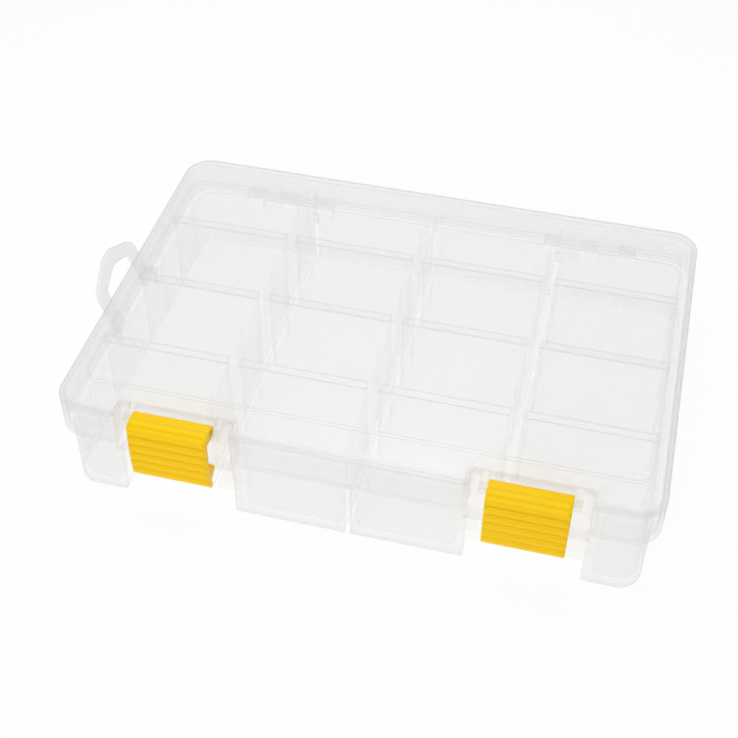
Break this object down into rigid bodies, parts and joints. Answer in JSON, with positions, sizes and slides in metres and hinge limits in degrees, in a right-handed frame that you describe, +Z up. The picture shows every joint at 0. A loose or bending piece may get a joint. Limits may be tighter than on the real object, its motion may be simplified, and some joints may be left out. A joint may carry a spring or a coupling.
{
  "type": "latching compartment box",
  "caption": "Flat clear plastic utility box with a hinged lid, yellow pull-out latches at the front, removable dividers and a folding hang loop on one end.",
  "frame": {"origin": "on the surface that the box stands on, under the middle of the tray", "axes": "+X along the box's length, away from the hang loop; +Y from the latches to the hinge; +Z up"},
  "size_m": [0.2142, 0.1558, 0.0443],
  "materials": {
    "clear_tray": "injection-moulded natural polypropylene, milky clear, satin",
    "clear_lid": "injection-moulded natural polypropylene, milky clear, satin",
    "clear_loop": "injection-moulded natural polypropylene, milky clear, satin",
    "clear_divider": "injection-moulded natural polypropylene, milky clear, satin",
    "clear_pin": "drawn natural polypropylene rod, milky clear",
    "yellow_latch": "injection-moulded coloured polypropylene, opaque warm yellow, semi-gloss"
  },
  "bodies": {
    "base": {"base_tray": "clear_tray", "hinge_pin_left": "clear_pin", "hinge_pin_right": "clear_pin", "divider_1": "clear_divider", "divider_2": "clear_divider", "divider_3": "clear_divider", "divider_4": "clear_divider", "divider_5": "clear_divider", "divider_6": "clear_divider", "divider_7": "clear_divider", "divider_8": "clear_divider", "divider_9": "clear_divider", "divider_10": "clear_divider", "divider_11": "clear_divider", "divider_12": "clear_divider"},
    "lid": {"lid": "clear_lid", "latch_pin_left": "clear_pin", "latch_pin_right": "clear_pin"},
    "latch_left": {"latch_left": "yellow_latch"},
    "latch_right": {"latch_right": "yellow_latch"},
    "hang_loop": {"hang_loop": "clear_loop"}
  },
  "joints": [
    {"name": "lid_hinge", "type": "hinge", "parent": "base", "child": "lid", "pos_m": [0, 0.0756, 0.0237], "axis": [-1, 0, 0], "range_deg": [0, 180]},
    {"name": "latch_left_hinge", "type": "hinge", "parent": "lid", "child": "latch_left", "pos_m": [-0.06, -0.0703, 0.0374], "axis": [-1, 0, 0], "range_deg": [0, 110]},
    {"name": "latch_right_hinge", "type": "hinge", "parent": "lid", "child": "latch_right", "pos_m": [0.06, -0.0703, 0.0374], "axis": [-1, 0, 0], "range_deg": [0, 110]},
    {"name": "hang_loop_hinge", "type": "hinge", "parent": "base", "child": "hang_loop", "pos_m": [-0.103, 0, 0.0224], "axis": [0, 1, 0], "range_deg": [-140, 5]}
  ]
}
